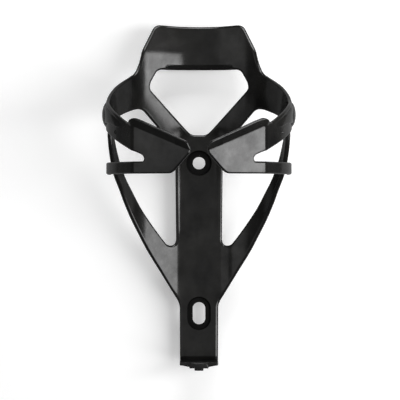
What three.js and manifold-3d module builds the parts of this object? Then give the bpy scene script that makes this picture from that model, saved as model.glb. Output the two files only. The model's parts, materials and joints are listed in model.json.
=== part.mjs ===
// A moulded bicycle bottle cage: a back frame that bolts to the bicycle, and two side grips that spring round
// the bottle. Millimetres, +Z up, +X to the right, the bottle stands on the -Y side of the frame.
// The origin lies on the rear seat face, on the centre line, midway between the two bolt holes.
import * as THREE from "three";
import { mergeVertices } from "three/addons/utils/BufferGeometryUtils.js";
import Module from "manifold-3d";

const wasm = await Module();
wasm.setup();

// Driving dimensions
const BOLT_SPACING = 64; // the standard spacing of the two bosses on a bicycle frame
const BOLT_HOLE_R = 2.6;
const SEAT_R = 5.5; // round recess for the upper bolt head
const SLOT_LENGTH = 9.4; // the lower hole is a slot, end to end
const SLOT_SEAT_LENGTH = 14.1;
const SEAT_DEPTH = 1.1;
const AXIS_Y = -39; // the bottle's axis
const INNER_R = 36; // inner radius of the cage at rest, a little tighter than the bottle
const FRAME_WALL = 2.1;
const GRIP_WALL = 1.8;
const SPINE_THICKNESS = 3;
const GAP = 0.3; // clearance between neighbouring parts
const HEAD_TOP_Z = 90.7;
const HEAD_CREASE_Z = 79.1;
const HEAD_LEAN = THREE.MathUtils.degToRad(4.5); // the lip above the crease leans back
const FOOT_TOP_Z = -51.5;
const FOOT_DEPTH = 13;
const GRIP_ROOT_X = 28; // where the band leaves the back frame, and where the grip flexes
const CREASE_X = 25; // the vertical bend between band and wing
const WING_R = 110; // the wing is nearly flat
const WING_TOUCH_X = 13; // the wing comes nearest to the bottle here
const TIP_X = 2.6;
const WING_FOOT_Z = 26.6; // lower edge of the wing and of the strap
const STRAP_HEIGHT = 4.8;
const STRAP_END_WALL = 1.3; // the strap thins towards the leg
const STRAP_END_Y = -30.4;
const SLOT_END_X = 22; // inner end of the opening between wing and strap
const LIP_FLARE = 1.3; // how far the wing's top strip turns out
const LEG_STEPS = 14;

const nylon = new THREE.MeshStandardMaterial({ color: 0x1d1d1e, roughness: 0.42, metalness: 0 });
const gripNylon = new THREE.MeshStandardMaterial({ color: 0x202021, roughness: 0.36, metalness: 0 });

// ---- Tools ----

// A closed geometry as a manifold solid.
function solidOf(geometry) {
  const bare = geometry.index ? geometry.toNonIndexed() : geometry.clone();
  bare.deleteAttribute("normal");
  bare.deleteAttribute("uv");
  const merged = mergeVertices(bare, 1e-4);
  return new wasm.Manifold(
    new wasm.Mesh({
      numProp: 3,
      vertProperties: merged.attributes.position.array,
      triVerts: new Uint32Array(merged.index.array),
    }),
  );
}

// A manifold solid as a geometry.
function geometryOf(solid) {
  const { vertProperties, triVerts } = solid.getMesh();
  const geometry = new THREE.BufferGeometry();
  geometry.setAttribute("position", new THREE.BufferAttribute(new Float32Array(vertProperties), 3));
  geometry.setIndex(new THREE.BufferAttribute(new Uint32Array(triVerts), 1));
  geometry.computeVertexNormals();
  return geometry;
}

// An outline of corners [a, b, setback]: a corner with a setback is rounded that far along both of its sides.
function outline(corners) {
  const shape = new THREE.Shape();
  const towards = (from, to, distance) => {
    const length = Math.hypot(to[0] - from[0], to[1] - from[1]);
    const share = distance / length;
    return [from[0] + (to[0] - from[0]) * share, from[1] + (to[1] - from[1]) * share];
  };
  corners.forEach((corner, i) => {
    const before = corners.at(i - 1);
    const after = corners[(i + 1) % corners.length];
    const setback = corner[2] ?? 0;
    const start = setback ? towards(corner, before, setback) : corner;
    if (i === 0) shape.moveTo(start[0], start[1]);
    else shape.lineTo(start[0], start[1]);
    if (setback) {
      const end = towards(corner, after, setback);
      shape.quadraticCurveTo(corner[0], corner[1], end[0], end[1]);
    }
  });
  return shape;
}

function extrude(shape, depth, curveSegments) {
  return new THREE.ExtrudeGeometry(shape, { depth, bevelEnabled: false, curveSegments });
}

// A front-view outline (x, z) extruded from y = back to y = front.
function frontBlock(shape, back, front) {
  return extrude(shape, back - front, 5).rotateX(Math.PI / 2).translate(0, back, 0);
}

// A side-view outline (y, z) extruded from x = 0 to x = reach.
function sideBlock(shape, reach) {
  const turn = new THREE.Matrix4().makeBasis(
    new THREE.Vector3(0, 1, 0),
    new THREE.Vector3(0, 0, 1),
    new THREE.Vector3(1, 0, 0),
  );
  return extrude(shape, reach, 5).applyMatrix4(turn);
}

// A plan-view outline (x, y) extruded from z = low to z = high.
function planBlock(shape, low, high) {
  return extrude(shape, high - low, 26).translate(0, 0, low);
}

// A box bent to shape: place(u, v, w) gives each corner, with u along the run, v across it, w through the wall.
function bentBox(steps, place) {
  const geometry = new THREE.BoxGeometry(1, 1, 1, steps, 1, 1);
  const corners = geometry.attributes.position;
  for (let k = 0; k < corners.count; k++) {
    const p = place(corners.getX(k) + 0.5, corners.getY(k) + 0.5, corners.getZ(k) + 0.5);
    corners.setXYZ(k, p[0], p[1], p[2]);
  }
  return geometry;
}

// The point at an angle round the bottle, counted in degrees from the back, at a radius and height.
function roundBottle(degrees, radius, z) {
  const angle = THREE.MathUtils.degToRad(degrees);
  return [radius * Math.sin(angle), AXIS_Y + radius * Math.cos(angle), z];
}

function mesh(name, geometry, material) {
  const part = new THREE.Mesh(geometry, material);
  part.name = name;
  return part;
}

// ---- Back frame ----

// The curved wall that the back frame is cut from. It hugs the bottle over the back 130 degrees.
function frameWall() {
  const start = THREE.MathUtils.degToRad(25);
  const end = Math.PI - start;
  const shape = new THREE.Shape();
  shape.absarc(0, AXIS_Y, INNER_R + FRAME_WALL, start, end, false);
  shape.absarc(0, AXIS_Y, INNER_R, end, start, true);
  return solidOf(planBlock(shape, -60, 100));
}

// A part of the back frame: the curved wall inside a front-view outline.
function framePlate(shape) {
  return frameWall().intersect(solidOf(frontBlock(shape, 5, -45)));
}

function stadium(width, length) {
  const r = width / 2;
  const half = length / 2 - r;
  const shape = new THREE.Shape();
  shape.absarc(0, half, r, 0, Math.PI, false);
  shape.absarc(0, -half, r, Math.PI, 2 * Math.PI, false);
  return shape;
}

// The flat spine, with a round bolt hole above and a slotted one below, each in a recessed seat.
function spine() {
  const side = [
    [8.2, FOOT_TOP_Z - 1.9],
    [8.2, -27],
    [9.4, -3],
    [9.75, 30],
    [9.5, 36.6],
    [5.5, 46.3],
    [3.3, 43.9, 1.6],
  ];
  const mirrored = side.map(([x, z, setback]) => [-x, z, setback]).reverse();
  let plate = solidOf(frontBlock(outline([...side, ...mirrored]), 0, -SPINE_THICKNESS));
  const upper = BOLT_SPACING / 2;
  const bore = new THREE.CylinderGeometry(BOLT_HOLE_R, BOLT_HOLE_R, 20, 40).translate(0, 0, upper);
  const seat = new THREE.CylinderGeometry(SEAT_R, SEAT_R, 10, 48);
  seat.translate(0, SEAT_DEPTH - SPINE_THICKNESS - 5, upper);
  const seatWidth = SLOT_SEAT_LENGTH - SLOT_LENGTH + 2 * BOLT_HOLE_R;
  const slot = frontBlock(stadium(2 * BOLT_HOLE_R, SLOT_LENGTH), 10, -10).translate(0, 0, -upper);
  const slotSeat = frontBlock(stadium(seatWidth, SLOT_SEAT_LENGTH), SEAT_DEPTH - SPINE_THICKNESS, -10);
  slotSeat.translate(0, 0, -upper);
  for (const cutter of [bore, seat, slot, slotSeat]) plate = plate.subtract(solidOf(cutter));
  return geometryOf(plate);
}

// The crossbar over the window, up to the crease.
function headPanel() {
  const shape = new THREE.Shape();
  const top = HEAD_CREASE_Z - GAP / 2;
  shape.moveTo(-25.8, 72.8);
  shape.lineTo(-17.2, 72.2);
  shape.quadraticCurveTo(0, 71.5, 17.2, 72.2);
  shape.lineTo(25.8, 72.8);
  shape.quadraticCurveTo(25.2, 75.8, 24.3, top);
  shape.quadraticCurveTo(0, top - 1.2, -24.3, top);
  shape.quadraticCurveTo(-25.2, 75.8, -25.8, 72.8);
  return geometryOf(framePlate(shape));
}

// The lead-in lip above the crease.
function headLip() {
  const shape = new THREE.Shape();
  const low = HEAD_CREASE_Z + GAP / 2;
  shape.moveTo(-24.2, low);
  shape.quadraticCurveTo(0, low - 1.2, 24.2, low);
  shape.lineTo(20, 88.2);
  shape.quadraticCurveTo(18.8, HEAD_TOP_Z, 16.4, HEAD_TOP_Z);
  shape.quadraticCurveTo(0, HEAD_TOP_Z - 1, -16.4, HEAD_TOP_Z);
  shape.quadraticCurveTo(-18.8, HEAD_TOP_Z, -20, 88.2);
  const lean = Math.tan(HEAD_LEAN);
  const geometry = geometryOf(framePlate(shape)).translate(0, 0, -HEAD_CREASE_Z);
  geometry.applyMatrix4(new THREE.Matrix4().makeShear(0, 0, 0, 0, 0, lean));
  return geometry.translate(0, 0, HEAD_CREASE_Z);
}

// The arm beside the window, from the spine up to the head and out to the grip's root.
function arm() {
  const corners = [
    [9.8, 36.8],
    [18.6, 47.8],
    [24.6, 55, 2.5],
    [GRIP_ROOT_X - GAP / 2, 53.9],
    [GRIP_ROOT_X - GAP / 2, 68.9],
    [27.1, 70.2],
    [25.9, 72.4],
    [17.2, 71.9],
    [20.3, 65.7, 1.1],
    [20.5, 63.2, 1.2],
    [5.8, 46.5],
  ];
  return geometryOf(framePlate(outline(corners)));
}

// The triangular web between the spine and the root of a leg.
function gusset() {
  const corners = [
    [9.7, -0.9],
    [10.4, -3.1, 1.6],
    [13.3, -3.1, 1.5],
    [14.5, -1.05],
    [22.5, -4.9],
    [8.5, -27.4],
  ];
  return geometryOf(framePlate(outline(corners)));
}

// The leg climbs from the base round the bottle to the underside of the band. Its two edges are curves of
// [degrees from the back, height], matched station by station.
function leg() {
  const curve = (points) => new THREE.SplineCurve(points.map(([a, z]) => new THREE.Vector2(a, z)));
  const inner = curve([
    [24.4, -0.5],
    [32.6, 5.5],
    [42, 12.9],
    [49.4, 19.4],
    [56.8, 25.3],
    [64.6, 32.2],
    [72, 40],
    [77.5, 46.6],
  ]);
  const outer = curve([
    [36.9, -4.3],
    [42.6, 1.4],
    [50, 8.4],
    [56.8, 15.1],
    [62.7, 20.9],
    [72.2, 28.6],
    [79.7, 38],
    [84.5, 45],
  ]);
  return bentBox(LEG_STEPS, (u, v, w) => {
    const edge = inner.getPoint(u).lerp(outer.getPoint(u), v);
    return roundBottle(edge.x, INNER_R + FRAME_WALL * w, edge.y);
  });
}

// The shelf that the bottle's base stands on.
function footShelf() {
  const corners = [
    [8.1, FOOT_TOP_Z],
    [8.1, FOOT_TOP_Z - 1.6, 0.6],
    [4.4, FOOT_TOP_Z - 2.5],
    [-4.4, FOOT_TOP_Z - 2.5],
    [-8.1, FOOT_TOP_Z - 1.6, 0.6],
    [-8.1, FOOT_TOP_Z],
  ];
  const back = -SPINE_THICKNESS - GAP;
  return frontBlock(outline(corners), back, back - FOOT_DEPTH);
}

// The boss in the middle of the shelf's front edge.
function footBoss() {
  const corners = [
    [3.6, FOOT_TOP_Z - 0.5, 0.4],
    [4.2, FOOT_TOP_Z - 2.7, 0.4],
    [-4.2, FOOT_TOP_Z - 2.7, 0.4],
    [-3.6, FOOT_TOP_Z - 0.5, 0.4],
  ];
  const back = -SPINE_THICKNESS - FOOT_DEPTH - 2 * GAP;
  return frontBlock(outline(corners), back, back - 1.1);
}

// The small tab under the shelf.
function footTab() {
  const top = FOOT_TOP_Z - 2.5 - GAP;
  return new THREE.BoxGeometry(3.8, 5, 1).translate(0, -SPINE_THICKNESS - FOOT_DEPTH + 2.4, top - 0.5);
}

// ---- Grips ----

// The grip follows one line in plan: round the bottle, then straight off it to the crease, then the nearly flat
// wing. The wing's arc is centred so that it comes nearest to the bottle at WING_TOUCH_X.
const touch = new THREE.Vector2(WING_TOUCH_X, -Math.sqrt(INNER_R ** 2 - WING_TOUCH_X ** 2)).normalize();
const wingCentre = touch.clone().multiplyScalar(INNER_R + GAP - WING_R);
wingCentre.y += AXIS_Y;
const creasePoint = wingPoint(CREASE_X);
const creaseReach = Math.hypot(creasePoint.x, creasePoint.y - AXIS_Y);
const creaseAngle = Math.atan2(creasePoint.x, creasePoint.y - AXIS_Y);
const leaveAngle = creaseAngle - Math.acos(INNER_R / creaseReach);

// The wing's inner face at x.
function wingPoint(x) {
  return new THREE.Vector2(x, wingCentre.y - Math.sqrt(WING_R ** 2 - (x - wingCentre.x) ** 2));
}

// Stations of the line in plan, each with the point on the inner face and the outward normal.
function bandStation(angle) {
  const normal = new THREE.Vector2(Math.sin(angle), Math.cos(angle));
  return { normal, point: new THREE.Vector2(0, AXIS_Y).addScaledVector(normal, INNER_R) };
}

function straightStation(share) {
  const { point, normal } = bandStation(leaveAngle);
  return { normal, point: point.lerp(creasePoint, share) };
}

function wingStation(x) {
  const point = wingPoint(x);
  return { point, normal: point.clone().sub(wingCentre).normalize() };
}

function range(from, to, count) {
  return Array.from({ length: count + 1 }, (_, i) => from + ((to - from) * i) / count);
}

// The plan-view outline of a wall that runs through the stations, thinning evenly from one end to the other,
// with any extra corners at its far end.
function wallOutline(stations, endThickness = GRIP_WALL, end = []) {
  const outer = stations.map(({ point, normal }, i) => {
    const share = i / (stations.length - 1);
    return point.clone().addScaledVector(normal, GRIP_WALL + (endThickness - GRIP_WALL) * share);
  });
  return new THREE.Shape([...stations.map(({ point }) => point), ...end, ...outer.reverse()]);
}

const SPLIT_SHARE = 0.45; // the band ends and the wing begins this far along the straight stretch
const SPLIT_GAP_SHARE = 0.475;

// The band from the frame round to the wing, sloping down towards the front.
function band() {
  const rootAngle = Math.asin((GRIP_ROOT_X + GAP / 2) / (INNER_R + GRIP_WALL));
  const stations = [...range(rootAngle, leaveAngle, 20).map(bandStation), straightStation(SPLIT_SHARE)];
  const wall = solidOf(planBlock(wallOutline(stations), 20, 80));
  const curve = (points, steps) => {
    const line = new THREE.SplineCurve(points.map(([y, z]) => new THREE.Vector2(y, z)));
    return line.getPoints(steps);
  };
  const topHeights = [
    [-10, 71.4],
    [-14.4, 68.4],
    [-18.9, 66],
    [-25, 63.1],
    [-33.5, 58.9],
    [-39, 56.7],
    [-47, 54.4],
    [-54, 51.7],
    [-61.5, 46.9],
    [-66, 44.6],
  ];
  const bottomHeights = [
    [-12, 55.3],
    [-23, 51],
    [-39, 45.4],
    [-50.7, 42.2],
    [-60.9, 37.8],
    [-68, 35.3],
  ];
  const shape = new THREE.Shape([...curve(topHeights, 28), ...curve(bottomHeights, 20).reverse()]);
  const beyondRoot = new THREE.BoxGeometry(30, 100, 60).translate(GRIP_ROOT_X + GAP / 2 + 15, AXIS_Y, 50);
  return geometryOf(wall.intersect(solidOf(sideBlock(shape, 60))).intersect(solidOf(beyondRoot)));
}

// The knuckle: a rounded boss on the outside of the band, over the top of the leg.
function knuckle() {
  const dome = new THREE.SphereGeometry(1, 28, 18).scale(2.4, 8, 4.8);
  dome.rotateX(THREE.MathUtils.degToRad(17)).translate(INNER_R + 1, AXIS_Y - 0.6, 50.9);
  const core = new THREE.CylinderGeometry(INNER_R + GRIP_WALL + GAP, INNER_R + GRIP_WALL + GAP, 60, 180);
  core.rotateX(Math.PI / 2).translate(0, AXIS_Y, 50);
  return geometryOf(solidOf(dome).subtract(solidOf(core)));
}

// Heights along the wing's turned strip: its crease, and its top edge, which peaks beside the band.
const creaseHeight = (x) => 35.2 + ((x - 3.4) * (45.1 - 35.2)) / (25.9 - 3.4);

function topHeight(x) {
  const corners = [[TIP_X, 36.6], [4.8, 39.1], [23.6, 48.1], [25.4, 48.4], [27, 47.7], [30, 45.8]];
  const next = Math.max(1, corners.findIndex((corner) => corner[0] >= x));
  const [x0, z0] = corners[next - 1];
  const [x1, z1] = corners[next];
  return z0 + ((x - x0) * (z1 - z0)) / (x1 - x0);
}

// The wing plate: the face that carries the grip's strength, below its turned strip.
function wing() {
  const flat = range(TIP_X, CREASE_X, 8).map(wingStation);
  const stations = [...flat, straightStation(1), straightStation(SPLIT_GAP_SHARE)];
  const wall = solidOf(planBlock(wallOutline(stations), 20, 80));
  const strapTop = WING_FOOT_Z + STRAP_HEIGHT;
  const corners = [
    [32, creaseHeight(32) - GAP / 2],
    [3.4, creaseHeight(3.4) - GAP / 2],
    [TIP_X + 0.2, 34.6, 0.4],
    [5.2, 32.9],
    [8.6, 28.9],
    [10.8, WING_FOOT_Z, 1.5],
    [SLOT_END_X + 0.2, WING_FOOT_Z],
    [SLOT_END_X + 0.2, strapTop],
    [SLOT_END_X - 0.4, 32.7, 0.8],
    [SLOT_END_X + 0.5, 33.9, 0.6],
    [25.4, 35.2],
    [32, 38.6],
  ];
  return geometryOf(wall.intersect(solidOf(frontBlock(outline(corners), -40, -90))));
}

// The strip along the wing's top edge, turned outwards as a lead-in for the bottle.
function wingLip() {
  const xs = [TIP_X, 3.6, 4.8, 8, 12, 16, 20, 24, CREASE_X];
  const run = xs.map(wingStation);
  for (const share of [0.15, 0.3]) run.push(straightStation(1 - share));
  return bentBox(run.length - 1, (u, v, w) => {
    const { point, normal } = run[Math.round(u * (run.length - 1))];
    const foot = point.clone().addScaledVector(normal, GRIP_WALL * w);
    const low = creaseHeight(foot.x) + GAP / 2;
    const head = foot.clone().addScaledVector(normal, LIP_FLARE);
    const top = Math.max(topHeight(head.x), low + 0.5);
    const spot = foot.lerp(head, v);
    return [spot.x, spot.y, low + (top - low) * v];
  });
}

// The strap from the wing back to the leg. It leaves the bottle beside the axis and runs straight back.
function strap() {
  const stations = [
    ...range(SLOT_END_X + 0.5, CREASE_X, 1).map(wingStation),
    straightStation(1),
    ...range(leaveAngle, Math.PI / 2, 8).map(bandStation),
  ];
  const end = [INNER_R, INNER_R + STRAP_END_WALL].map((x) => new THREE.Vector2(x, STRAP_END_Y));
  return planBlock(wallOutline(stations, STRAP_END_WALL, end), WING_FOOT_Z, WING_FOOT_Z + STRAP_HEIGHT);
}

// ---- Assembly ----

const cage = new THREE.Group();
cage.name = "bottle_cage";
cage.add(mesh("spine", spine(), nylon));
cage.add(mesh("head_panel", headPanel(), nylon));
cage.add(mesh("head_lip", headLip(), nylon));
cage.add(mesh("foot_shelf", footShelf(), nylon));
cage.add(mesh("foot_boss", footBoss(), nylon));
cage.add(mesh("foot_tab", footTab(), nylon));

// The sides are modelled at +X, and the left one is mirrored.
for (const [side, mirror] of [["left", -1], ["right", 1]]) {
  const half = new THREE.Group();
  half.name = `${side}_side`;
  half.scale.x = mirror;
  half.add(mesh(`${side}_arm`, arm(), nylon));
  half.add(mesh(`${side}_gusset`, gusset(), nylon));
  half.add(mesh(`${side}_leg`, leg(), nylon));
  half.add(mesh(`${side}_band`, band(), gripNylon));
  half.add(mesh(`${side}_knuckle`, knuckle(), gripNylon));
  half.add(mesh(`${side}_wing`, wing(), gripNylon));
  half.add(mesh(`${side}_wing_lip`, wingLip(), gripNylon));
  half.add(mesh(`${side}_strap`, strap(), gripNylon));
  cage.add(half);
}

export default cage;
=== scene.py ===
# %% [markdown]
# # A moulded bottle cage
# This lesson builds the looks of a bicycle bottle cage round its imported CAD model. The real cage is black
# glass-filled nylon: a back frame with two legs, and two side grips that spring round the bottle. It
# could be shown with the CAD solids as they are, but those are split by small gaps for the physics and
# have sharp edges. So each moulding is made again here as a continuous skin with rounded rims, and it
# replaces its CAD nodes.

import json
import math
from itertools import pairwise

import bpy
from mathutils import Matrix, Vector


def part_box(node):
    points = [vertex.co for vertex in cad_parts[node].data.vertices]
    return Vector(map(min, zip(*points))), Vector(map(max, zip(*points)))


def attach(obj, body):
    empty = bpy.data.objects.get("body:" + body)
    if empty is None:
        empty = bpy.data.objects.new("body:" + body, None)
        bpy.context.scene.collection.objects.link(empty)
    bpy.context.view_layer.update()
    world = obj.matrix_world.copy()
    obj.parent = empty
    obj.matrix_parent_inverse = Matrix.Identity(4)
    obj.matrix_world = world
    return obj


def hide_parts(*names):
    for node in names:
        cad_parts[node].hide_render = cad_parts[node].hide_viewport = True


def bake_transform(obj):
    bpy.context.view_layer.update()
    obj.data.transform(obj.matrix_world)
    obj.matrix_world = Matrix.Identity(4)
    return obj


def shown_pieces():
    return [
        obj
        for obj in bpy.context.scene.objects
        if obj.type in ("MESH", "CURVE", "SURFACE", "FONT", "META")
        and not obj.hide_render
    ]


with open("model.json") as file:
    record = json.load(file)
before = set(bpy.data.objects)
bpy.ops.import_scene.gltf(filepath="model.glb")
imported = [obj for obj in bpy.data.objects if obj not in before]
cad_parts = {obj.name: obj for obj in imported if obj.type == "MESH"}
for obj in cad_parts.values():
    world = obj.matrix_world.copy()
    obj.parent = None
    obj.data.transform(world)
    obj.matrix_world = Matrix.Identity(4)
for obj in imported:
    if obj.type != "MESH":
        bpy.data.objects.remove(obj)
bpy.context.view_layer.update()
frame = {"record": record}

# %% [markdown]
# ## Sizes
# The places come from the frame: the bolt holes and the foot from the record's mounts, the heights of
# the head and the straps, the root of the band, the tip of the wing and the front of the spine from their
# nodes. Lengths inside this script are in metres, so a millimetre is a named factor, and the outlines
# below can be read as a drawing in millimetres.

# %% Take the main sizes from the frame
MM = 0.001
mounts = {mount["name"]: mount["pos_m"] for mount in frame["record"]["mounts"]}
HOLE_Z = mounts["upper_bolt_seat"][2] / MM
FOOT_Z = mounts["bottle_foot"][2] / MM
SEAT_FLOOR_Y = mounts["upper_bolt_seat"][1]
HEAD_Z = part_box("head_lip")[1].z / MM
CREASE_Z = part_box("head_panel")[1].z / MM
ROOT_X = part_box("right_band")[0].x / MM
STRAP_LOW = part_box("right_strap")[0].z / MM
STRAP_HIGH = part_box("right_strap")[1].z / MM
TIP_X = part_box("right_wing")[0].x / MM
SPINE_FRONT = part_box("spine")[0].y / MM
AXIS_Y = -39  # the bottle's axis
INNER_R = 36  # the cage's inner radius
WALL = 1.8
print("bolt holes at z =", HOLE_Z, "and", -HOLE_Z, "mm, foot at", FOOT_Z, "mm")

# %% [markdown]
# ## The plan line
# Seen from above, frame and grip follow one line: round the bottle, straight off it to a sharp bend, then
# the nearly flat wing. Every wall could be built in place, point by point. It is easier to cut each wall
# as a flat sheet, as if from card, and to let a Curve modifier wrap it round this line, because then an
# outline is drawn flat and the wall keeps its thickness all the way round.

# %% Describe the plan line
BEND_X = 25  # the sharp bend between band and wing
WING_R = 110
WING_TOUCH_X = 13  # the wing comes nearest to the bottle here


def on_circle(angle, radius=INNER_R):
    return Vector((radius * math.sin(angle), AXIS_Y + radius * math.cos(angle)))


touch = Vector((WING_TOUCH_X, -math.sqrt(INNER_R**2 - WING_TOUCH_X**2))).normalized()
wing_centre = Vector((0, AXIS_Y)) + touch * (INNER_R + 0.3 - WING_R)


def wing_angle(x):
    return math.asin((x - wing_centre.x) / WING_R)


def on_wing(x):
    return wing_centre + Vector((math.sin(wing_angle(x)), -math.cos(wing_angle(x)))) * WING_R


bend = on_wing(BEND_X)
bend_reach = (bend - Vector((0, AXIS_Y))).length
leave_angle = math.atan2(bend.x, bend.y - AXIS_Y) - math.acos(INNER_R / bend_reach)
LEAVE_S = INNER_R * leave_angle  # lengths along the line, from the middle of the back
BEND_S = LEAVE_S + (bend - on_circle(leave_angle)).length
TIP_S = BEND_S + WING_R * (wing_angle(BEND_X) - wing_angle(TIP_X))


def plan_point(s):
    """The point of the line at length s."""
    if s <= LEAVE_S:
        return on_circle(s / INNER_R)
    if s <= BEND_S:
        return on_circle(leave_angle).lerp(bend, (s - LEAVE_S) / (BEND_S - LEAVE_S))
    angle = wing_angle(BEND_X) - (s - BEND_S) / WING_R
    return wing_centre + Vector((math.sin(angle), -math.cos(angle))) * WING_R


def bend_point(s, setback=0.9):
    """The same, with the bend taken round a small corner."""
    if abs(s - BEND_S) >= setback:
        return plan_point(s)
    share = (s - BEND_S + setback) / (2 * setback)
    first = plan_point(BEND_S - setback).lerp(bend, share)
    second = bend.lerp(plan_point(BEND_S + setback), share)
    return first.lerp(second, share)


print("line leaves the bottle at", round(LEAVE_S, 1), "and bends at", round(BEND_S, 1), "mm")

# %% [markdown]
# ## The line as a curve
# The Curve modifier needs a curve object. A smooth spline would need its handles placed, so short
# straight steps are used, which follow the line closely enough to look round.

# %% Make the curve
LINE_STEP = 0.2
line_points = [bend_point(i * LINE_STEP) for i in range(int((TIP_S + 2) / LINE_STEP) + 1)]
line_data = bpy.data.curves.new("plan_line", "CURVE")
line_data.dimensions = "3D"
line_data.twist_mode = "Z_UP"
spline = line_data.splines.new("POLY")
spline.points.add(len(line_points) - 1)
for point, place in zip(spline.points, line_points):
    point.co = (place.x * MM, place.y * MM, 0, 1)
plan_line = bpy.data.objects.new("plan_line", line_data)
bpy.context.scene.collection.objects.link(plan_line)
print("plan line has", len(line_points), "points")

# %% [markdown]
# ## Outlines
# An outline is a list of corners, each with a setback if it is rounded. Corners seen from the front are
# given by x, and the helper turns them into lengths along the line. A long edge gets points on the way,
# so that it stays straight as seen from the front after it is wrapped.

# %% Helpers for outlines


def rounded(corners, steps=6):
    """The outline's points, with each corner (a, b, setback) turned into a small curve."""
    points = []
    count = len(corners)
    for i, corner in enumerate(corners):
        here = Vector(corner[:2])
        setback = corner[2] if len(corner) > 2 else 0
        if not setback:
            points.append(here)
            continue
        before, after = Vector(corners[i - 1][:2]), Vector(corners[(i + 1) % count][:2])
        start = here + (before - here).normalized() * setback
        end = here + (after - here).normalized() * setback
        for k in range(steps + 1):
            share = k / steps
            points.append(start.lerp(here, share).lerp(here.lerp(end, share), share))
    return points


def from_front(x, radius=INNER_R):
    """The length along the line of a point that is seen at x from the front, on a face of that radius."""
    return INNER_R * math.asin(x / radius)


def wrapped(points, radius=INNER_R, longest=2.5):
    """Front-view points as points along the line, with more points on long edges."""
    result = []
    for here, after in pairwise([*points, points[-1]]):
        pieces = max(1, math.ceil((after - here).length / longest))
        result += [here.lerp(after, k / pieces) for k in range(pieces)]
    return [Vector((from_front(p.x, radius), p.y)) for p in result]


def smooth(points, steps=6):
    """A smooth curve through points (Catmull-Rom)."""
    points = [Vector(p) for p in points]
    padded = [points[0] * 2 - points[1], *points, points[-1] * 2 - points[-2]]
    result = []
    for i in range(1, len(padded) - 2):
        p0, p1, p2, p3 = padded[i - 1 : i + 3]
        for k in range(steps):
            t = k / steps
            slope = (p2 - p0) * t + (p0 * 2 - p1 * 5 + p2 * 4 - p3) * t**2
            slope += (p1 * 3 - p0 - p2 * 3 + p3) * t**3
            result.append(p1 + slope * 0.5)
    return [*result, points[-1]]


# %% [markdown]
# ## Selecting in code
# By hand, faces are picked with the mouse. In a script they are picked by their place or by the way they
# face. An operator acts on all that is selected, so everything else is deselected first.

# %% Helpers for selecting


def only(piece):
    """Selects this piece alone."""
    bpy.ops.object.select_all(action="DESELECT")
    piece.select_set(True)
    bpy.context.view_layer.objects.active = piece


def pick_faces(piece, wanted):
    """Selects the faces that wanted(face) is true for, and stays in edit mode."""
    bpy.ops.object.mode_set(mode="EDIT")
    bpy.ops.mesh.select_mode(type="FACE")
    bpy.ops.mesh.select_all(action="DESELECT")
    bpy.ops.object.mode_set(mode="OBJECT")
    for face in piece.data.polygons:
        face.select = wanted(face)
    bpy.ops.object.mode_set(mode="EDIT")


# %% [markdown]
# ## Cutting a flat blank
# A blank starts from a plane merged to a single point, which is extruded along the outline, filled and
# extruded again through the wall. The rims of a moulding are never sharp. A Bevel modifier could round
# them, but it folds over where cut lines come close together. Insets with a little depth, one after
# another, give the same quarter round, and a last flat inset keeps the shading of the face calm. Hollow
# faces are split into simple ones, because a straight cut through a hollow face can go wrong.

# %% Helper for blanks
RIM = [(0.1, 0.24), (0.22, 0.22), (0.26, 0.1), (0.15, 0)]  # inset and height of each ring


def blank(name, outline, low=0.0, high=WALL, rim=RIM, half=False):
    """A flat sheet cut to the outline, from y = low to y = high, with round rims on both faces."""
    height = sum(ring[1] for ring in rim)
    bpy.ops.object.select_all(action="DESELECT")
    bpy.ops.mesh.primitive_plane_add(size=MM)
    piece = bpy.context.object
    piece.name = piece.data.name = name
    bpy.ops.object.mode_set(mode="EDIT")
    bpy.ops.mesh.select_mode(type="VERT")
    bpy.ops.mesh.select_all(action="SELECT")
    bpy.ops.mesh.merge(type="CENTER")
    first = outline[0]
    bpy.ops.transform.translate(value=(first.x * MM, (low + height) * MM, first.y * MM))
    for here, after in pairwise(outline):
        step = (after - here) * MM
        bpy.ops.mesh.extrude_vertices_move(TRANSFORM_OT_translate={"value": (step.x, 0, step.y)})
    bpy.ops.mesh.select_all(action="SELECT")
    bpy.ops.mesh.edge_face_add()
    through = (high - low - 2 * height) * MM
    bpy.ops.mesh.extrude_region_move(TRANSFORM_OT_translate={"value": (0, through, 0)})
    bpy.ops.mesh.select_all(action="SELECT")
    bpy.ops.mesh.normals_make_consistent(inside=False)
    if half:
        vertices = piece.data.vertices
        pick_faces(piece, lambda f: all(abs(vertices[v].co.x) < 1e-7 for v in f.vertices))
        bpy.ops.mesh.delete(type="FACE")
    for side in (-1, 1):
        pick_faces(piece, lambda f: f.normal.y * side > 0.99)
        for inset, raised in rim:
            bpy.ops.mesh.inset(use_boundary=False, thickness=inset * MM, depth=raised * MM)
    bpy.ops.mesh.select_all(action="SELECT")
    bpy.ops.mesh.vert_connect_concave()
    bpy.ops.object.mode_set(mode="OBJECT")
    return piece


# %% [markdown]
# ## Slicing and wrapping
# A flat face can't bend, so a blank is sliced before a Curve modifier wraps it round the plan line.
# Subdividing would add the same number of cuts everywhere, while slices go exactly where the sheet bends
# or folds.

# %% Helpers for slicing and wrapping


def slice_at(piece, places, normal):
    """Cuts the piece along planes at these distances in millimetres."""
    only(piece)
    bpy.ops.object.mode_set(mode="EDIT")
    for place in places:
        bpy.ops.mesh.select_all(action="SELECT")
        bpy.ops.mesh.bisect(plane_co=Vector(normal) * place * MM, plane_no=normal)
    bpy.ops.object.mode_set(mode="OBJECT")


def steps_between(start, end, step):
    """Places between start and end, about a step apart."""
    count = max(1, round((end - start) / step))
    return [start + (end - start) * i / count for i in range(1, count)]


def apply_modifier(piece, kind, **settings):
    """Adds a modifier by hand, sets it and applies it."""
    only(piece)
    bpy.ops.object.modifier_add(type=kind)
    modifier = piece.modifiers[-1]
    for key, value in settings.items():
        setattr(modifier, key, value)
    bpy.ops.object.modifier_apply(modifier=modifier.name)


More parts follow.
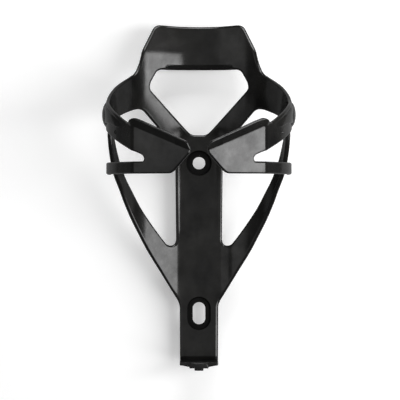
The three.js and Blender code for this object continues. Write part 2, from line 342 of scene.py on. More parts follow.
def wrap(piece):
    """Wraps a flat piece round the plan line."""
    apply_modifier(piece, "CURVE", object=plan_line, deform_axis="POS_X")


def ramp(value, start, end):
    """Rises smoothly from 0 at start to 1 at end."""
    share = min(1, max(0, (value - start) / (end - start)))
    return share * share * (3 - 2 * share)


# %% [markdown]
# ## The back frame, seen from the front
# One moulding holds the head with its window, the arms, the spine with its two holes, and the legs. It is
# the same on both sides, so only the right half is drawn, from the middle of the head clockwise. The
# whole outline could be one long list, but in stretches each can be read beside the real edge that it
# stands for.

# %% Draw the head, the arm, the base and the window
HOLE_R = 2.6
SLOT_HALF = 4.7  # half the slot's length, end to end
SLOT_REACH = SLOT_HALF - HOLE_R  # from the slot's middle to the centre of each round end
SPINE_FOOT = FOOT_Z - 1.9
PAST_ROOT_X = ROOT_X + 2  # the wall is cut off square at the root after it is wrapped

head_side = [(0, HEAD_Z - 0.65), (8, HEAD_Z - 0.55), (14, HEAD_Z - 0.25), (18.9, HEAD_Z, 2.4)]
head_side += [(24.3, 79.4, 1.2), (25, 76.3, 1), (25.6, 73.9, 1), (27, 70.4)]
head_side += [(ROOT_X, 68.9), (PAST_ROOT_X, 67.35)]
arm_side = [(PAST_ROOT_X, 53.3), (ROOT_X, 54.1), (24.7, 55, 2.5), (18.6, 47.9), (9.9, 36.9, 0.6)]
gap_side = [(9.75, 30), (9.45, -0.6), (10.1, -3.1, 1.5), (13.2, -3.1, 1.4), (14.6, -1.2)]
base_side = [(19.9, -9.1), (17.2, -13.4), (12, -22), (9.2, -26.5)]
base_side += [(8.3, -28.6, 1.2), (8.2, SPINE_FOOT), (0, SPINE_FOOT)]
WINDOW_FOOT, WINDOW_TOP = 43.9, 71.7
window = [(0, WINDOW_FOOT), (3.2, WINDOW_FOOT, 1.8), (5.6, 46.4), (20.5, 63.2, 1.2)]
window += [(20.3, 65.7, 1.2), (17.2, 71.6, 2), (0, WINDOW_TOP)]
print("window is", round(WINDOW_TOP - WINDOW_FOOT, 1), "mm high")

# %% [markdown]
# ## Bolt holes
# The upper hole is round and the lower one is a slot, so that the cage can be shifted a little on its
# bosses. Both are part of the outline, because the half sheet ends on their middle line. A Boolean could
# cut them after mirroring, but then their rims would need a rounding of their own.

# %% Helper for the right half of a hole


def half_ring(centre, reach):
    """The right half of a hole whose round ends sit at centre +- reach, from bottom to top."""
    angles = [math.radians(a) for a in range(-90, 91, 12)]
    lower = [(HOLE_R * math.cos(a), centre - reach + HOLE_R * math.sin(a)) for a in angles if a <= 0]
    upper = [(HOLE_R * math.cos(a), centre + reach + HOLE_R * math.sin(a)) for a in angles if a >= 0]
    return [Vector(p) for p in lower + (upper if reach else upper[1:])]


# %% [markdown]
# ## The leg's edges
# A leg climbs from the base round the bottle, so its edges are given by the angle round the bottle and
# the height. Straight lines between a few places would show as corners, so a smooth curve is laid through
# them. The end is straight and lies inside the wall of the band.

# %% Draw the leg
LEG_TOP = 49.5
leg_inner = [(24.4, -0.9), (32.6, 5.5), (42, 12.9), (49.4, 19.4)]
leg_inner += [(56.8, 25.3), (64.6, 32.2), (72, 40), (77.5, 46.4)]
leg_outer = [(84.2, 46.4), (79.7, 38), (72.2, 28.6), (62.7, 20.9)]
leg_outer += [(56.8, 15.1), (50, 8.4), (42.6, 1.4), (36.9, -4.3)]
leg_end = [Vector((80.1, LEG_TOP)), Vector((85.8, LEG_TOP))]  # inside the band's wall
leg_edge = [*smooth(leg_inner), *leg_end, *smooth(leg_outer)]
leg_points = [Vector((INNER_R * math.radians(p.x), p.y)) for p in leg_edge]
print("leg edge has", len(leg_points), "points")

# %% [markdown]
# ## The back frame, cut flat
# The stretches are joined into one outline, legs and all, and the half is cut from one sheet. The rims
# along the middle line stay open, and a Mirror modifier will close them later.

# %% Cut the right half of the frame
OUTER_R = 37.7  # an outer edge is seen near its outer face
# A neighbour is added at each end of a stretch, so that its last corner can be rounded, and taken off again.
outline = wrapped(rounded([(0, 80), *head_side, *arm_side, (9.8, 36)])[1:-1], OUTER_R)
outline += wrapped(rounded([(9.9, 36), *gap_side, (15, 0)])[1:-1]) + leg_points
outline += wrapped(rounded([(21, -7), *base_side, (0, -40)])[1:-1], OUTER_R)
outline += half_ring(-HOLE_Z, SLOT_REACH) + half_ring(HOLE_Z, 0)
outline += wrapped(rounded([(0, 40), *window, (0, 75)])[1:-1])
FRAME_WALL = 2.0
WIDE_RIM = [(0.12, 0.3), (0.3, 0.28), (0.38, 0.14), (0.2, 0)]
frame_half = blank("back_frame", outline, high=FRAME_WALL, rim=WIDE_RIM, half=True)
print("frame outline has", len(outline), "points")

# %% [markdown]
# ## Slices, crossbar edge and wrap
# The blank is sliced every millimetre along its length, and every three in height. Where the crossbar
# meets the window its front edge is eased back further than the other rims, which is done while the sheet
# is still flat.

# %% Slice, ease the crossbar and wrap
EASED = 2.1  # height of the eased edge
EASED_TOP = WINDOW_TOP + EASED
CREASE_HALF = 0.8  # the crease is a small curve, this far above and below its line
# Below this height, just above the shelf, the spine's front gets painted shade for the shade in that corner.
PAINTED_SHADE_TOP = FOOT_Z + 1.2  # the spine is duller below this height, just above the shelf
slice_at(frame_half, range(1, 54), (1, 0, 0))
slice_at(frame_half, range(-52, 90, 3), (0, 0, 1))
crease_heights = [CREASE_Z - CREASE_HALF, CREASE_Z, CREASE_Z + CREASE_HALF]
slice_at(frame_half, [PAINTED_SHADE_TOP, EASED_TOP, *crease_heights, HEAD_Z - 2.6], (0, 0, 1))
for vertex in frame_half.data.vertices:
    s, y, z = vertex.co / MM
    if y < 1 and 71 < z < EASED_TOP and s < 18:
        eased = 1.2 * (1 - max(0, z - WINDOW_TOP) / EASED)
        vertex.co.y += eased * (1 - ramp(s, 12.5, 15.6)) * MM
    if y > 1 and z > 50:
        vertex.co.y -= (FRAME_WALL - WALL) * ramp(s, 22, 29) * MM  # down to the grip's wall
flat_places = [vertex.co / MM for vertex in frame_half.data.vertices]
wrap(frame_half)
print("wrapped", len(frame_half.data.vertices), "vertices")

# %% [markdown]
# ## Flat spine and leaning head
# The spine has to lie flat on the bicycle's tube, so the sheet is pressed flat along its middle and
# blends into the round wall at the sides. Above its crease the head leans back as a lead-in for the
# bottle. Both are smooth changes of depth alone. Proportional editing could make them, but a rule for
# each point gives an exact flat.

# %% Press the spine flat and lean the head
LEAN = math.tan(math.radians(4.5))
for vertex, (s, y, z) in zip(frame_half.data.vertices, flat_places):
    hollow = INNER_R * (1 - math.cos(s / INNER_R))
    spread = 8.5 - 3 * ramp(z, -4, 4)  # the base blends more gently than the spine's edges
    press = (1 - ramp(s, 7, 7 + spread)) * (1 - ramp(z, 38, 48))
    vertex.co.y += hollow * press * MM
    above = z - CREASE_Z
    leaned = max(0, above) if abs(above) > CREASE_HALF else (above + CREASE_HALF) ** 2 / (4 * CREASE_HALF)
    vertex.co.y += leaned * LEAN * MM
frame_half.data.update()
middle = [v.co.y for v in frame_half.data.vertices if v.co.x < 2 * MM and v.co.z < 0]
print("spine front at y =", round(min(middle) / MM, 2), "mm")

# %% [markdown]
# ## A square end at the root
# The arm ends where the band begins. Drawn square, that end would get a rounded rim, and a groove would
# show between the two mouldings. So both outlines run past the root, and each wall is cut square there,
# once it is wrapped.

# %% Cut the arm square at the root


def square_off(piece, keep_outer, wanted):
    """Cuts the wall square at the root, through the wanted faces only, and closes the cut."""
    pick_faces(piece, wanted)
    bpy.ops.mesh.bisect(
        plane_co=(ROOT_X * MM, 0, 0),
        plane_no=(1, 0, 0),
        clear_inner=keep_outer,
        clear_outer=not keep_outer,
        use_fill=True,
    )
    bpy.ops.object.mode_set(mode="OBJECT")


square_off(frame_half, False, lambda f: f.center.z > 49 * MM and f.center.x > 20 * MM)
print("arm ends at x =", round(ROOT_X, 2), "mm")

# %% [markdown]
# ## Splitting off the legs
# On the cage a leg bends at its root when the grip opens, so it is made a piece of its own. It could be
# modelled apart, but its rims would never meet the frame's exactly. So it is cut from the finished half
# along a line across its root, where the two stay flush.

# %% Split the leg from the half
ROOT_CUT = Vector((17.2, 0, -0.4)) * MM
ROOT_NORMAL = Vector((0.44, 0, 0.9)).normalized()


def on_leg(centre):
    return (centre - ROOT_CUT).dot(ROOT_NORMAL) > 0 and centre.x > 14 * MM


def leg_area(face):
    """The part of the half where the leg runs, with a little of the base."""
    centre = face.center
    low_part = centre.x > 12 * MM and -8 * MM < centre.z < 34 * MM
    return low_part or (centre.x > 33 * MM and centre.z < (LEG_TOP + 1) * MM)


pick_faces(frame_half, leg_area)
bpy.ops.mesh.bisect(plane_co=ROOT_CUT, plane_no=ROOT_NORMAL)
pick_faces(frame_half, lambda f: leg_area(f) and on_leg(f.center))
bpy.ops.mesh.separate(type="SELECTED")
bpy.ops.object.mode_set(mode="OBJECT")
right_leg = next(o for o in bpy.context.selected_objects if o != frame_half)
right_leg.name = right_leg.data.name = "right_leg_skin"
for piece in (frame_half, right_leg):
    print(piece.name, "has", len(piece.data.polygons), "faces")

# %% [markdown]
# ## Making a left half
# The left side is the mirror of the right. A Mirror modifier would leave both sides in one object, which
# is right for the frame but not for legs and grips, which are kept as pieces of their own on each side.
# So those are copied, each copy with its own mesh, mirrored by a negative scale that is applied, and
# turned the right way out again.

# %% Helpers for mirrored pieces and clean normals


def outwards(piece):
    """Merges doubled points and turns every face outwards."""
    only(piece)
    bpy.ops.object.mode_set(mode="EDIT")
    bpy.ops.mesh.select_all(action="SELECT")
    bpy.ops.mesh.remove_doubles(threshold=0.002 * MM)
    bpy.ops.mesh.normals_make_consistent(inside=False)
    bpy.ops.object.mode_set(mode="OBJECT")


def cap_open_ends(piece):
    """Closes the open loop that a cut leaves with one face."""
    only(piece)
    bpy.ops.object.mode_set(mode="EDIT")
    bpy.ops.mesh.select_mode(type="EDGE")
    bpy.ops.mesh.select_all(action="DESELECT")
    bpy.ops.mesh.select_non_manifold()
    bpy.ops.mesh.edge_face_add()
    bpy.ops.object.mode_set(mode="OBJECT")


def mirrored(piece, name):
    """A copy of the piece, with its own mesh, on the other side."""
    only(piece)
    bpy.ops.object.duplicate(linked=False)
    copy = bpy.context.object
    copy.name = copy.data.name = name
    copy.scale.x = -1
    bpy.ops.object.transform_apply(scale=True)
    outwards(copy)
    return copy


def finish_shading(piece):
    """Smooth shading, except over sharp edges."""
    only(piece)
    bpy.ops.object.shade_smooth_by_angle(angle=math.radians(35))


# %% [markdown]
# ## One back frame
# The half is mirrored and merged along the middle, and what the cuts at the roots left open is closed.
# The other half could be copied like a leg, but a Mirror modifier also merges the two along the middle.

# %% Mirror the frame
cap_open_ends(right_leg)
apply_modifier(frame_half, "MIRROR", merge_threshold=0.002 * MM)
back_frame = frame_half
cap_open_ends(back_frame)
outwards(back_frame)
outwards(right_leg)
print("back frame is", round(back_frame.dimensions.x / MM, 1), "mm wide")

# %% [markdown]
# ## Bolt seats
# Each bolt head sits in a recess with a chamfered mouth: a round one above, and the same pulled long for
# the slot. They could be drawn into the outline as rings, but a Boolean modifier cuts them clean across
# the slices.

# %% Sink the bolt seats


def seat_cutter(name, centre_z, stretch, radius):
    """A cutter for a bolt seat: its floor at the seat's depth, its mouth opened by a chamfer."""
    bpy.ops.object.select_all(action="DESELECT")
    floor = SEAT_FLOOR_Y / MM
    depth = floor - SPINE_FRONT
    bpy.ops.mesh.primitive_cylinder_add(
        vertices=64, radius=radius * MM, depth=depth * MM, rotation=(math.pi / 2, 0, 0)
    )
    cutter = bpy.context.object
    cutter.name = name
    cutter.location = (0, (floor - depth / 2) * MM, centre_z * MM)
    bpy.ops.object.transform_apply(location=True, rotation=True)
    pick_faces(cutter, lambda f: f.normal.y < -0.9)
    chamfer = 1 + 0.5 / radius
    bpy.ops.transform.resize(value=(chamfer, 1, chamfer))
    bpy.ops.mesh.extrude_region_move(TRANSFORM_OT_translate={"value": (0, -4 * MM, 0)})
    bpy.ops.transform.resize(value=(1.5, 1, 1.5))
    bpy.ops.object.mode_set(mode="OBJECT")
    for vertex in cutter.data.vertices:
        vertex.co.z += math.copysign(stretch * MM, vertex.co.z - centre_z * MM)
    return cutter


cutters = [seat_cutter("seat_cutter", HOLE_Z, 0, 4.9)]
cutters += [seat_cutter("slot_seat_cutter", -HOLE_Z, SLOT_REACH, 4.5)]
for cutter in cutters:
    apply_modifier(back_frame, "BOOLEAN", operation="DIFFERENCE", object=cutter, solver="EXACT")
    bpy.data.objects.remove(cutter)
finish_shading(back_frame)
print("back frame has", len(back_frame.data.polygons), "faces")

# %% [markdown]
# ## The foot
# The bottle stands on a short shelf with a bowed lower face, a boss in the middle of its front edge and a
# small tab underneath. Each is a block that is bevelled and pushed into the next, as they are moulded in
# one.

# %% Model the foot
shelf_low, shelf_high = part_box("foot_shelf")


def block(name, low, high, round_by):
    """A box between two corners, with its edges bevelled."""
    bpy.ops.object.select_all(action="DESELECT")
    bpy.ops.mesh.primitive_cube_add(size=1)
    piece = bpy.context.object
    piece.name = piece.data.name = name
    piece.scale = high - low
    piece.location = (low + high) / 2
    bpy.ops.object.transform_apply(location=True, scale=True)
    bpy.ops.object.mode_set(mode="EDIT")
    bpy.ops.mesh.select_all(action="SELECT")
    bpy.ops.mesh.bevel(offset=round_by * MM, segments=3, profile=0.5)
    bpy.ops.object.mode_set(mode="OBJECT")
    return piece


BOW = 0.9  # how far the shelf's lower face bows down
shelf_top_corner = shelf_high + Vector((0, 1.2, 0)) * MM  # pushed back into the spine
shelf = block("foot_shelf_skin", shelf_low + Vector((0, 0, BOW)) * MM, shelf_top_corner, 0.45)
slice_at(shelf, range(-7, 8), (1, 0, 0))
for vertex in shelf.data.vertices:
    if vertex.co.z < shelf_high.z - 0.8 * MM:
        vertex.co.z -= BOW * (1 - ramp(abs(vertex.co.x) / MM, 2, 8)) * MM
boss_low, boss_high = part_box("foot_boss")
boss = block("foot_boss_skin", boss_low, boss_high + Vector((0, 1, 0)) * MM, 0.35)
for vertex in boss.data.vertices:  # narrower at the top
    vertex.co.x *= 1 - 0.16 * (vertex.co.z - boss_low.z) / (boss_high.z - boss_low.z)
tab_low, tab_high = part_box("foot_tab")
tab = block("foot_tab_skin", tab_low, tab_high + Vector((0, 0, 0.6)) * MM, 0.25)
for piece in (shelf, boss, tab):
    finish_shading(piece)
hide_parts("spine", "head_panel", "head_lip")
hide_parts("left_arm", "right_arm", "left_gusset", "right_gusset")
for piece, node in ((shelf, "foot_shelf"), (boss, "foot_boss"), (tab, "foot_tab")):
    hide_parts(node)
print("foot is", round((shelf_high.x - shelf_low.x) / MM, 1), "mm wide")

# %% [markdown]
# ## The legs
# Each leg runs from the base up to the band, whose wall it enters from below. Its end is made a little
# thinner than the band, so that the two walls don't share a surface.

# %% Finish the legs
THINNED_FROM, THINNED_AT = 42.5, 45  # heights between which the leg gets thinner
for vertex in right_leg.data.vertices:
    outward = Vector((vertex.co.x, vertex.co.y - AXIS_Y * MM, 0))
    depth = outward.length / MM - INNER_R - FRAME_WALL / 2  # from the middle of the wall
    thinner = 0.22 * ramp(vertex.co.z / MM, THINNED_FROM, THINNED_AT)
    vertex.co -= outward.normalized() * depth * thinner * MM
finish_shading(right_leg)
left_leg = mirrored(right_leg, "left_leg_skin")
finish_shading(left_leg)
for side, leg in ((-1, left_leg), (1, right_leg)):
    name = "left" if side < 0 else "right"
    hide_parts(f"{name}_leg")
    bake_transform(leg)

# %% [markdown]
# ## The grips, cut flat
# A grip is one moulding too: the band leaves the frame's arm, comes round the bottle and bends into the
# wing, and a strap runs back from the wing to the leg. Its outline is drawn along the plan line, with
# heights that slope down to the front.

# %% Cut the right grip
ROOT_S = from_front(ROOT_X)
TURN_S = INNER_R * math.pi / 2  # where the strap leaves the bottle and runs straight back
STRAP_END_S = TURN_S - 10.5
FLARED = WALL + 1.3  # how far the lip's top edge stands off the inner face


def along(x, offset=WALL):
    """Length along the line of a point seen at x on the front of the grip, so far off the inner face."""
    straight = bend - on_circle(leave_angle)
    shift = offset * abs(straight.y) / straight.length
    if x - shift > BEND_X:
        return BEND_S - (x - shift - BEND_X) / -straight.x * straight.length
    inner_x = min(BEND_X, x - offset * math.sin(wing_angle(x)))
    return BEND_S + WING_R * (wing_angle(BEND_X) - wing_angle(inner_x))


# The band's two edges are given by the length along the line.
band_top = [(30.36, 68.9), (33.37, 67.35), (36.4, 66), (42.9, 63.1), (51.3, 58.9)]
band_top += [(56.5, 56.7), (64.2, 54.4), (71.2, 51.7), (79.2, 48.2)]
band_bottom = [(78.8, 38.3), (67.9, 42.2), (56.5, 45.4), (40.8, 51), (33.37, 53.3), (30.36, 54.1)]
lip = [(along(28.6), 46.6, 1.4), (along(27.1), 47.6, 0.8), (along(25.6, FLARED), 48.5, 1.1)]
lip += [(along(22.2, FLARED), 47.2)]
lip += [(along(4.8, FLARED), 39.1, 1), (TIP_S, 36.5, 0.7), (TIP_S - 0.2, 34.5, 0.7), (along(5.2), 32.8)]
lip += [(along(8.6), 28.9), (along(10.9), STRAP_LOW, 1.6)]
strap_part = [(STRAP_END_S, STRAP_LOW, 1.1), (STRAP_END_S, STRAP_HIGH, 1.1), (along(21.9), STRAP_HIGH, 0.65)]
strap_part += [(along(21.6), 32.8, 0.7), (along(22.5), 34, 0.75), (along(25.4), 35.3)]
grip_outline = rounded([*smooth(band_top, 5), *lip, *strap_part, *smooth(band_bottom)])
right_grip = blank("right_grip_skin", grip_outline)
print("grip outline has", len(grip_outline), "points")

# %% [markdown]
# ## Turning out the lip
# Along the wing's top edge a strip is turned outwards, so that the bottle is led in. The flat sheet is
# cut along the fold, and what lies above it is tilted. The fold could be turned with a rotation about its
# own line, but the strip has to run out to nothing beside the band, so each point is pushed out by its
# height above the fold.

# %% Slice and fold the lip
FOLD_START = Vector((along(3.4), 35.2))
FOLD_END = Vector((along(BEND_X + 0.6), 45))
fold_normal = Vector((-(FOLD_END - FOLD_START).y, (FOLD_END - FOLD_START).x)).normalized()
if fold_normal.y < 0:
    fold_normal.negate()
LIP_TILT = math.tan(math.radians(24))


def cut_line(piece, through, normal):
    """Cuts the flat piece along a slanted line."""
    only(piece)
    bpy.ops.object.mode_set(mode="EDIT")
    bpy.ops.mesh.select_all(action="SELECT")
    bpy.ops.mesh.bisect(plane_co=(through.x * MM, 0, through.y * MM), plane_no=(normal.x, 0, normal.y))
    bpy.ops.object.mode_set(mode="OBJECT")


slice_at(right_grip, steps_between(ROOT_S - 2, BEND_S - 1.2, 1.0), (1, 0, 0))
slice_at(right_grip, steps_between(BEND_S - 1.3, BEND_S + 1.3, 0.2), (1, 0, 0))
slice_at(right_grip, steps_between(BEND_S + 1.2, TIP_S, 2.0), (1, 0, 0))
slice_at(right_grip, steps_between(26, 70, 3), (0, 0, 1))
for offset in (-0.25, 0, 0.25):
    cut_line(right_grip, FOLD_START + fold_normal * offset, fold_normal)
for vertex in right_grip.data.vertices:
    place = Vector((vertex.co.x, vertex.co.z)) / MM
    above = (place - FOLD_START).dot(fold_normal)
    if above > 0.05:
        vertex.co.y += above * LIP_TILT * ramp(place.x, BEND_S - 5.5, BEND_S - 0.5) * MM
    if place.x < TURN_S + 6 and place.y < STRAP_HIGH + 1:
        vertex.co.y *= 0.78 + 0.22 * ramp(place.x, TURN_S - 2, TURN_S + 6)  # the strap thins to its end
print("lip is turned out by", round(math.degrees(math.atan(LIP_TILT))), "degrees")

# %% [markdown]
# ## Wrapping the grip
# The band follows the bottle all the way, but the strap leaves it beside the axis and runs straight back.
# So after the wrap, that end of the strap is laid straight again. The band's end is cut square at the
# root.

# %% Wrap the grip and straighten the strap
flat_places = [vertex.co / MM for vertex in right_grip.data.vertices]
wrap(right_grip)
for vertex, (s, y, z) in zip(right_grip.data.vertices, flat_places):
    if s < TURN_S and z < STRAP_HIGH + 1:
        vertex.co.x, vertex.co.y = (INNER_R + y) * MM, (AXIS_Y + TURN_S - s) * MM
right_grip.data.update()


def near_root(face):
    return face.center.x < 34 * MM and face.center.y > -30 * MM and face.center.z > 50 * MM


square_off(right_grip, True, near_root)
outwards(right_grip)
print("grip spans", [round(v / MM, 1) for v in right_grip.dimensions])

# %% [markdown]
# ## Knuckle and pip
# Over the leg's upper end the band carries a rounded knuckle on its outside, and near the wing a small
# pip. They could be pulled out of the band's face, but its slices are too coarse for such round shapes.
# So both are flattened spheres, wrapped round the same line and set a little into the wall.

# %% Shape and wrap the knuckle and the pip
SUNK = 0.9  # how far outside the inner face a dome's widest section lies


def dome(name, place, half_size, turn=0.0):
    """A flattened sphere on the outside of the band. Its inner half is pressed flat inside the wall."""
    bpy.ops.object.select_all(action="DESELECT")
    bpy.ops.mesh.primitive_uv_sphere_add(segments=48, ring_count=24, radius=MM)
    piece = bpy.context.object
    piece.name = piece.data.name = name
    piece.scale = half_size
    piece.rotation_euler.y = math.radians(turn)
    piece.location = Vector((place[0], SUNK, place[1])) * MM
    bpy.ops.object.transform_apply(location=True, rotation=True, scale=True)
    for vertex in piece.data.vertices:
        if vertex.co.y < SUNK * MM:
            vertex.co.y = SUNK * MM - (SUNK * MM - vertex.co.y) * 0.2
    wrap(piece)
    outwards(piece)
    return piece


right_knuckle = dome("right_knuckle_skin", (56.2, 51.1), (8.2, 2.5, 5.1), turn=20)
right_pip = dome("right_pip_skin", (74.2, 43.3), (1.1, 1.4, 1.2))
reach = max(v.co.x for v in right_knuckle.data.vertices)
print("knuckle reaches x =", round(reach / MM, 2), "mm")

# %% [markdown]
# ## Shoulder
# In front of the knuckle a raised shoulder runs along the band towards the wing. It is cut as a blank,
# like the band, with a softer rim, and is lowered into the wall towards both ends, so that it fades out.

# %% Shape and wrap the shoulder
shoulder_top = [(53, 56.6), (57, 55.3), (64.2, 53.3), (71.2, 50.6), (78.6, 47.4, 1), (82, 46, 1.1)]
shoulder_low = [(80.5, 44.6, 0.8), (75.5, 44.9, 1), (70.5, 46.6), (63, 47.2), (53, 47.6)]
shoulder_outline = rounded([*shoulder_top, *shoulder_low])
SHOULDER_RIM = [(0.14, 0.25), (0.22, 0.2), (0.3, 0.1)]
right_shoulder = blank("right_shoulder_skin", shoulder_outline, low=0.5, high=2.45, rim=SHOULDER_RIM)
SHOULDER_START, SHOULDER_END = 53, 82
slice_at(right_shoulder, steps_between(SHOULDER_START, SHOULDER_END, 1.0), (1, 0, 0))
for vertex in right_shoulder.data.vertices:
    if vertex.co.y > WALL * MM:
        s = vertex.co.x / MM
        tapered = 1 - ramp(s, SHOULDER_START, 60) + ramp(s, 66, SHOULDER_END)
        vertex.co.y -= 0.7 * tapered * MM
wrap(right_shoulder)
outwards(right_shoulder)
print("shoulder has", len(right_shoulder.data.polygons), "faces")

# %% [markdown]
# ## Left side and bodies
# What is finished on the right is copied to the left. Knuckles, shoulders and pips are handed to their
# grip's body, and the frame's pieces to the frame's body, while the grips' own skins are baked in place.

# %% Copy to the left side and set them on their bodies
grip_skins = {"grip": right_grip, "knuckle": right_knuckle, "shoulder": right_shoulder, "pip": right_pip}
for part, piece in grip_skins.items():
    finish_shading(piece)
    left_piece = mirrored(piece, f"left_{part}_skin")
    finish_shading(left_piece)
    for side, skin in (("left", left_piece), ("right", piece)):
        if part != "grip":
            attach(skin, f"{side}_grip")
            continue
        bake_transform(skin)
        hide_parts(*[f"{side}_{node}" for node in ("band", "wing", "wing_lip", "strap")])
    if part == "knuckle":
        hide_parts("left_knuckle")
        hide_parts("right_knuckle")
for piece in (back_frame, shelf, boss, tab):
    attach(piece, "back_frame")

# %% [markdown]
# ## Nodes for a moulded surface
# Glass-filled nylon comes out of the mould satin to glossy, nearly black, with faint clouds where the
# melt flowed. The clouds could be painted, but noise needs no picture. It reads Object coordinates, so it
# sits still on each piece. Most of it lies between 0.3 and 0.7, and that part is spread over the values
# that are wanted.

# %% Helpers for the material's nodes
NOISE_LOW, NOISE_HIGH = 0.3, 0.7


def noise(tree, scale, detail, roughness=0.5):
    coordinates = tree.nodes.new("ShaderNodeTexCoord")
    node = tree.nodes.new("ShaderNodeTexNoise")
    node.inputs["Scale"].default_value = scale
    node.inputs["Detail"].default_value = detail
    node.inputs["Roughness"].default_value = roughness
    tree.links.new(coordinates.outputs["Object"], node.inputs["Vector"])
    return node.outputs["Fac"]


def spread(tree, value, low, high):
    """Noise as values from low to high."""
    node = tree.nodes.new("ShaderNodeMapRange")
    node.inputs["From Min"].default_value = NOISE_LOW
    node.inputs["From Max"].default_value = NOISE_HIGH
    node.inputs["To Min"].default_value = low
    node.inputs["To Max"].default_value = high
    tree.links.new(value, node.inputs["Value"])
    return node.outputs["Result"]


def add_bump(tree, height, strength, distance):
    node = tree.nodes.new("ShaderNodeBump")
    node.inputs["Strength"].default_value = strength
    node.inputs["Distance"].default_value = distance * MM
    tree.links.new(height, node.inputs["Height"])
    return node


# %% [markdown]
# ## Black nylon
# One shader gives all three finishes. Large clouds change its colour, its roughness and, as shallow
# waves, its surface. Smaller flow marks change how strongly it shines, and a fine grain breaks up the
# reflections. The frame and the grips are nearly alike. The third finish is darker and duller: it is
# painted shade, for the shade that falls in the bolt seats' recesses and in the corner above the shelf.

# %% Make the three finishes


def nylon(name, tone, gloss, shine=0.5):
    """Nylon with that mean tone, lowest roughness and mean specular level."""
    material = bpy.data.materials.new(name)
    material.use_nodes = True
    tree = material.node_tree
    shader = tree.nodes["Principled BSDF"]
    shader.inputs["IOR"].default_value = 1.5
    clouds = noise(tree, 70, 4, 0.55)
    tint = tree.nodes.new("ShaderNodeValToRGB")
    dark, light = tint.color_ramp.elements
    dark.color = (0.5 * tone, 0.5 * tone, 0.5 * tone, 1)
    light.color = (1.7 * tone, 1.65 * tone, 1.5 * tone, 1)
    dark.position, light.position = NOISE_LOW, NOISE_HIGH
    waves = add_bump(tree, clouds, 0.5, 0.12)
    grain = add_bump(tree, noise(tree, 900, 2), 0.06, 0.05)
    flow = noise(tree, 160, 5, 0.65)
    tree.links.new(clouds, tint.inputs["Fac"])
    tree.links.new(tint.outputs["Color"], shader.inputs["Base Color"])
    tree.links.new(spread(tree, clouds, gloss, gloss + 0.05), shader.inputs["Roughness"])
    tree.links.new(waves.outputs["Normal"], grain.inputs["Normal"])
    tree.links.new(grain.outputs["Normal"], shader.inputs["Normal"])
    tree.links.new(spread(tree, flow, 0.7 * shine, 1.3 * shine), shader.inputs["Specular IOR Level"])
    return material


frame_nylon = nylon("frame_nylon_look", 0.007, 0.15)
grip_nylon = nylon("grip_nylon_look", 0.007, 0.14)
# The third finish is painted shade: its darker colour stands in for the shade in recesses and in the corner
# above the shelf.
painted_shade_nylon = nylon("seat_nylon_look", 0.002, 0.4, shine=0.12)
print("finishes:", frame_nylon.name, grip_nylon.name, painted_shade_nylon.name)

# %% [markdown]
# ## Which piece gets which finish
# Each piece has one finish all over, apart from the places that get painted shade: the two bolt seats,
# the strip of the spine just above the shelf, and the shelf's top, where shade falls. Those could be pieces
# of their own, but they are part of the moulding, so only their faces get the second material.

# %% Give each piece its finish
GRIP_PARTS = ("grip", "knuckle", "shoulder", "pip")
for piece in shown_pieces():
    on_grip = any(part in piece.name for part in GRIP_PARTS)
    piece.data.materials.clear()
    piece.data.materials.append(grip_nylon if on_grip else frame_nylon)
for piece in (back_frame, shelf):
    piece.data.materials.append(painted_shade_nylon)


def in_bolt_seat(x, y, z):
    beyond = max(0, abs(abs(z) - HOLE_Z) - (SLOT_REACH if z < 0 else 0))
    return math.hypot(x, beyond) < 5.3 and SPINE_FRONT + 0.02 < y < SEAT_FLOOR_Y / MM + 0.05


# Painted shade on the bolt seats and on the strip of the spine just above the shelf.
for face in back_frame.data.polygons:
    above_shelf = face.center.z < PAINTED_SHADE_TOP * MM and face.normal.y < -0.5
    if above_shelf or in_bolt_seat(*(face.center / MM)):
        face.material_index = 1
# Painted shade on the shelf's top.
for face in shelf.data.polygons:
    if face.normal.z > 0.7:
        face.material_index = 1
painted_shade = sum(face.material_index for face in back_frame.data.polygons)
print("dull faces on the back frame:", painted_shade)

# %% [markdown]
# ## Camera
# The cage is looked at straight from the front, from a little under a metre, with a long lens that keeps
# the edges of the spine nearly parallel.

# %% Set the camera
camera_data = bpy.data.cameras.new("camera")
camera_data.sensor_width = 36
camera_data.lens = 168.35
camera = bpy.data.objects.new("camera", camera_data)
camera.location = Vector((0.43, -800, 16.3)) * MM
camera.rotation_euler = (math.pi / 2, 0, 0)
bpy.context.scene.collection.objects.link(camera)
bpy.context.scene.camera = camera
print("camera is", round(-camera.location.y / MM), "mm in front of the spine's back")

# %% [markdown]
# ## Backdrop
# The cage hangs just off a pale card that catches a soft shadow. A card lit as brightly as it has to look
# would fill every edge of the black plastic with its reflection. So part of its brightness is a glow that
# only the camera sees, and in reflections it is darker. From behind it is clear, so that the cage's back
# can be seen.

# %% Make the backdrop card
bpy.ops.object.select_all(action="DESELECT")
bpy.ops.mesh.primitive_plane_add(size=0.26, rotation=(math.pi / 2, 0, 0))
card = bpy.context.object
card.name = "backdrop_card"
card.location = Vector((0, 6, 16)) * MM
card_look = bpy.data.materials.new("card_look")
card_look.use_nodes = True
card.data.materials.append(card_look)
nodes, links = card_look.node_tree.nodes, card_look.node_tree.links
card_shader = nodes["Principled BSDF"]
card_shader.inputs["Roughness"].default_value = 0.9
card_shader.inputs["Specular IOR Level"].default_value = 0
card_shader.inputs["Emission Color"].default_value = (1, 1, 1, 1)
ray = nodes.new("ShaderNodeLightPath")
glow = nodes.new("ShaderNodeMath")
glow.operation = "MULTIPLY"
glow.inputs[1].default_value = 0.26
links.new(ray.outputs["Is Camera Ray"], glow.inputs[0])
links.new(glow.outputs["Value"], card_shader.inputs["Emission Strength"])
dim = nodes.new("ShaderNodeMix")
dim.data_type = "RGBA"
dim.inputs["A"].default_value = (0.88, 0.88, 0.88, 1)
dim.inputs["B"].default_value = (0.3, 0.3, 0.3, 1)
links.new(ray.outputs["Is Glossy Ray"], dim.inputs["Factor"])
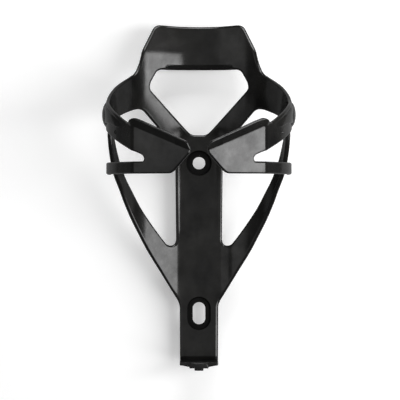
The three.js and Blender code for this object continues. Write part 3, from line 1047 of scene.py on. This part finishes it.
links.new(dim.outputs["Result"], card_shader.inputs["Base Color"])
print("card is", round(card.dimensions.x / MM), "mm wide")

# %% [markdown]
# ## A card that is clear from behind
# A second shader lets light through on the card's back. The card could be hidden by hand for a view from
# behind, but this way one scene serves every view.

# %% Make the card's back clear
side_of = nodes.new("ShaderNodeNewGeometry")
clear = nodes.new("ShaderNodeBsdfTransparent")
mix = nodes.new("ShaderNodeMixShader")
links.new(side_of.outputs["Backfacing"], mix.inputs["Fac"])
links.new(card_shader.outputs["BSDF"], mix.inputs[1])
links.new(clear.outputs["BSDF"], mix.inputs[2])
links.new(mix.outputs["Shader"], nodes["Material Output"].inputs["Surface"])
print("card's nodes:", len(nodes))

# %% [markdown]
# ## Lights
# Black gloss shows its shape by what it reflects, so the lights are placed for their reflections. Two
# softboxes on the right, one above and one below, draw bright bands on the faces that are turned towards
# them. A dim one by the camera and one on the left lift the other faces, and one overhead brightens what
# faces up.

# %% Place the softboxes


def softbox(name, angle, rise, distance, width, height, radiance, aim_z=20):
    """An area light, angle degrees to the right of the camera and rise degrees above it, facing the cage."""
    data = bpy.data.lights.new(name, "AREA")
    data.shape = "RECTANGLE"
    data.size, data.size_y = width, height
    data.energy = radiance * math.pi * width * height
    light = bpy.data.objects.new(name, data)
    a, r = math.radians(angle), math.radians(rise)
    away = Vector((math.sin(a) * math.cos(r), -math.cos(a) * math.cos(r), math.sin(r)))
    light.location = Vector((0, 0, aim_z * MM)) + away * distance
    light.rotation_mode = "QUATERNION"
    light.rotation_quaternion = away.to_track_quat("Z", "Y")
    bpy.context.scene.collection.objects.link(light)


softbox("key_upper", 49, 0, 0.6, 0.585, 0.15, 6.2, aim_z=75)
softbox("key_lower", 49, 0, 0.6, 0.585, 0.26, 4.3, aim_z=-130)
softbox("room_front", -1.5, 0, 1.2, 1.09, 1.0, 0.22)
softbox("fill_left", -45, 0, 0.8, 0.55, 0.8, 0.5)
softbox("overhead", 15, 62, 0.7, 0.6, 0.3, 6.5)
print("softboxes:", len(bpy.data.lights))

# %% [markdown]
# ## The room
# Beyond the card the camera sees a pale room, while the room that lights the cage is dim, so that the
# softboxes do the work. The plain view transform keeps black and white as they are.

# %% Light the room
world = bpy.data.worlds.new("studio")
bpy.context.scene.world = world
world.use_nodes = True
nodes, links = world.node_tree.nodes, world.node_tree.links
background = nodes["Background"]
background.inputs["Color"].default_value = (0.09, 0.09, 0.09, 1)
pale = nodes.new("ShaderNodeBackground")
pale.inputs["Color"].default_value = (0.9, 0.9, 0.9, 1)
seen = nodes.new("ShaderNodeLightPath")
world_mix = nodes.new("ShaderNodeMixShader")
links.new(seen.outputs["Is Camera Ray"], world_mix.inputs["Fac"])
links.new(background.outputs["Background"], world_mix.inputs[1])
links.new(pale.outputs["Background"], world_mix.inputs[2])
links.new(world_mix.outputs["Shader"], nodes["World Output"].inputs["Surface"])
bpy.context.scene.view_settings.view_transform = "Standard"
print("view transform:", bpy.context.scene.view_settings.view_transform)

# %% Remove the plan line
bpy.data.objects.remove(plan_line)
